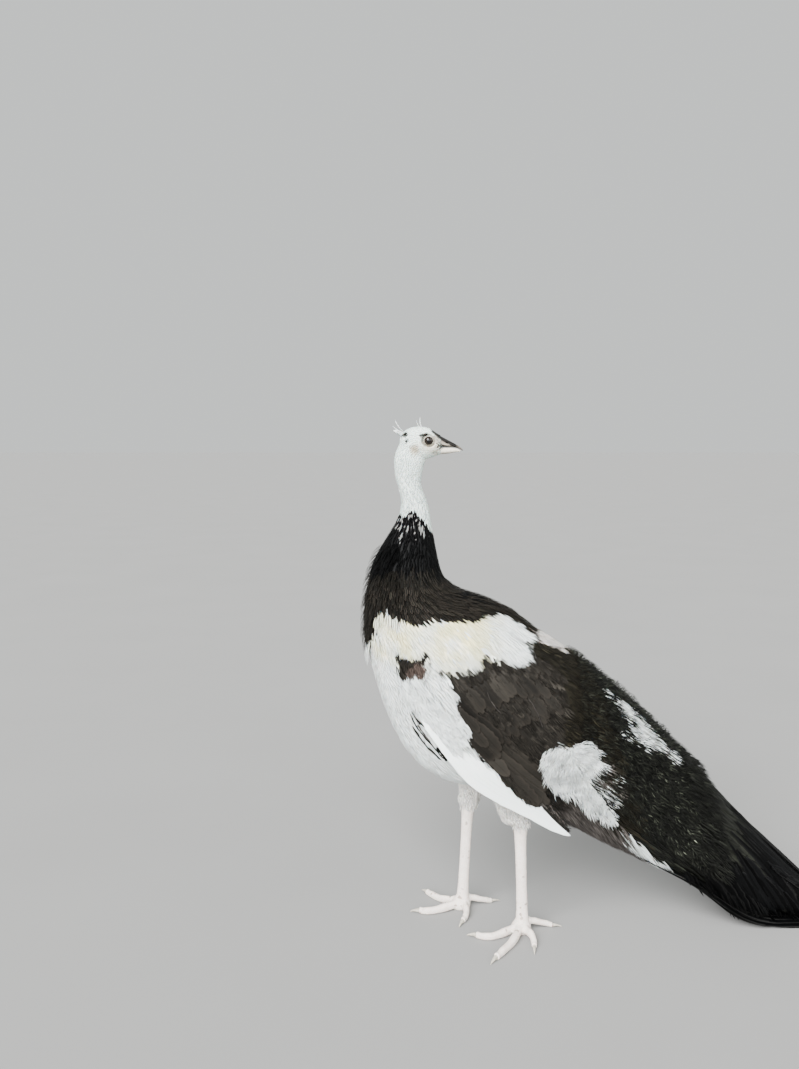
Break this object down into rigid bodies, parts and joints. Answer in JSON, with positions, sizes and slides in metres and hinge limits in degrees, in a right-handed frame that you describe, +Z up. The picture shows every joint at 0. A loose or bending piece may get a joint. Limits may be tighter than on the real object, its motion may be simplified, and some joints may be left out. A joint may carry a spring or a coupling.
{
  "type": "pied indian peacock, life-size still model",
  "caption": "Life-size standing pied Indian peafowl with its head turned back, folded wings and a short dark train resting on the floor.",
  "frame": {"origin": "on the floor under the middle of the whole bird's box", "axes": "+Z up; +X from the breast towards the train, so the body faces -X while the bill points +X; +Y towards the bird's right side"},
  "size_m": [0.7252, 0.22, 0.7155],
  "materials": {
    "plumage_white": "white feathering, soft and matt",
    "plumage_black": "glossy black feathering of the lower neck and tail",
    "plumage_brown": "dark brown feathering of back and wings",
    "plumage_train": "black-green feathering of the train with bronze flecks",
    "plumage_grey": "grey-brown feathering under the tail",
    "shank": "pale pinkish scaled skin of legs and toes",
    "horn": "grey-brown horn of bill and claws",
    "eye": "wet dark brown eye"
  },
  "bodies": {
    "root": {"head": "plumage_white", "neck_upper": "plumage_white", "neck_middle": "plumage_white", "neck_lower": "plumage_black", "trunk": "plumage_brown", "train": "plumage_train", "undertail": "plumage_grey", "tail": "plumage_black", "crest_rear": "plumage_white", "crest_crown": "plumage_white", "eye_left": "eye", "eye_right": "eye", "bill_upper": "horn", "bill_lower": "horn", "wing_left": "plumage_brown", "primaries_left": "plumage_white", "thigh_left": "plumage_white", "tarsus_left": "shank", "foot_left": "shank", "toe_inner_left": "shank", "claw_inner_left": "horn", "toe_middle_left": "shank", "claw_middle_left": "horn", "toe_outer_left": "shank", "claw_outer_left": "horn", "toe_hind_left": "shank", "claw_hind_left": "horn", "wing_right": "plumage_brown", "primaries_right": "plumage_white", "thigh_right": "plumage_white", "tarsus_right": "shank", "foot_right": "shank", "toe_inner_right": "shank", "claw_inner_right": "horn", "toe_middle_right": "shank", "claw_middle_right": "horn", "toe_outer_right": "shank", "claw_outer_right": "horn", "toe_hind_right": "shank", "claw_hind_right": "horn"}
  },
  "joints": []
}
